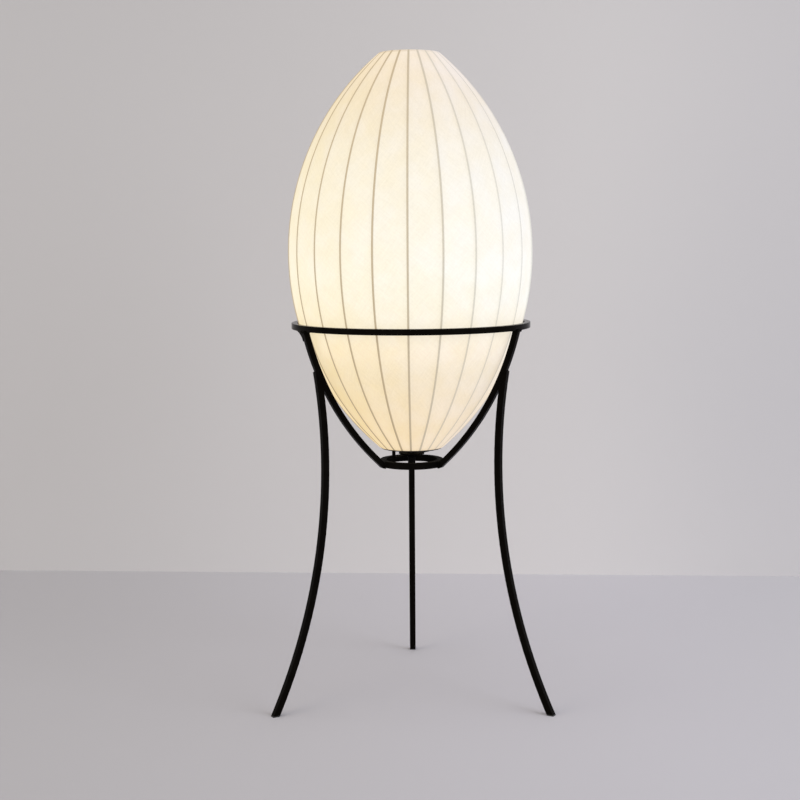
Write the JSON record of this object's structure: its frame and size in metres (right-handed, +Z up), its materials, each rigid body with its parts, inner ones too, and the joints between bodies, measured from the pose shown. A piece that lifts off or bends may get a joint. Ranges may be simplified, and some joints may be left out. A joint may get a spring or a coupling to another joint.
{
  "type": "floor lamp",
  "caption": "Egg-shaped floor lamp: a pale lit skin over meridian wires, seated in a cradle ring of black square bar on bowed legs, with a screw-in bulb inside.",
  "frame": {"origin": "on the floor, on the lamp's upright axis, midway between the feet", "axes": "+Z up; the front is towards -Y, with a leg on either side of it and the odd leg at the back (+Y)"},
  "size_m": [0.4764, 0.4812, 1.1],
  "materials": {
    "stand_black": "satin black powder coat",
    "foot_rubber": "matt black rubber",
    "shade_skin": "translucent pale skin, lit from inside",
    "frame_wire": "dark brown lacquered wire",
    "black_fittings": "black lacquer",
    "plated_steel": "bright zinc plating",
    "terminal_brass": "plain brass",
    "holder_plastic": "ivory moulded plastic",
    "holder_ceramic": "glazed white ceramic",
    "holder_thread": "pressed sheet",
    "bush_plastic": "black moulded plastic",
    "bulb_cap": "rolled sheet",
    "bulb_insulator": "black glossy insulator",
    "bulb_tip": "tinned tip",
    "bulb_housing": "white moulded plastic",
    "circuit_board": "green board",
    "light_board": "white coated board",
    "bulb_globe": "opal, lit from inside"
  },
  "bodies": {
    "stand": {"upper_ring": "stand_black", "lower_ring": "stand_black", "cradle_rib_left": "stand_black", "leg_left": "stand_black", "foot_pad_left": "foot_rubber", "cradle_rib_right": "stand_black", "leg_right": "stand_black", "foot_pad_right": "foot_rubber", "cradle_rib_back": "stand_black", "leg_back": "stand_black", "foot_pad_back": "foot_rubber"},
    "shade": {"shade_skin": "shade_skin", "shade_bottom_hoop": "black_fittings", "shade_top_hoop": "frame_wire", "holder_strap": "black_fittings", "holder_plate": "black_fittings", "stem_tube": "plated_steel", "stem_nuts": "black_fittings", "cord_bush": "bush_plastic", "holder_cap": "holder_plastic", "holder_grub_screw": "plated_steel", "holder_body": "holder_plastic", "holder_core": "holder_ceramic", "holder_thread_shell": "holder_thread", "holder_centre_contact": "terminal_brass", "holder_terminal_screws": "terminal_brass", "shade_wire_01": "frame_wire", "shade_wire_02": "frame_wire", "shade_wire_03": "frame_wire", "shade_wire_04": "frame_wire", "shade_wire_05": "frame_wire", "shade_wire_06": "frame_wire", "shade_wire_07": "frame_wire", "shade_wire_08": "frame_wire", "shade_wire_09": "frame_wire", "shade_wire_10": "frame_wire", "shade_wire_11": "frame_wire", "shade_wire_12": "frame_wire", "shade_wire_13": "frame_wire", "shade_wire_14": "frame_wire", "shade_wire_15": "frame_wire", "shade_wire_16": "frame_wire", "shade_wire_17": "frame_wire", "shade_wire_18": "frame_wire", "shade_wire_19": "frame_wire", "shade_wire_20": "frame_wire", "shade_wire_21": "frame_wire", "shade_wire_22": "frame_wire", "shade_wire_23": "frame_wire"},
    "bulb_tip": {"bulb_tip_contact": "bulb_tip"},
    "bulb": {"bulb_cap_insulator": "bulb_insulator", "bulb_cap_shell": "bulb_cap", "bulb_housing": "bulb_housing", "bulb_driver_board": "circuit_board", "bulb_light_board": "light_board", "bulb_globe": "bulb_globe"}
  },
  "joints": [
    {"name": "shade_lift", "type": "slide", "parent": "stand", "child": "shade", "axis": [0, 0, 1], "range_m": [0, 0.26]},
    {"name": "bulb_rise", "type": "slide", "parent": "shade", "child": "bulb_tip", "axis": [0, 0, 1], "range_m": [0, 0.0109]},
    {"name": "bulb_turn", "type": "hinge", "parent": "bulb_tip", "child": "bulb", "pos_m": [0, 0, 0.7], "axis": [0, 0, 1], "range_deg": [0, 1080]}
  ],
  "couplings": [
    {"joint": "bulb_rise", "follows": "bulb_turn", "m_per_rad": 0.00057751}
  ]
}
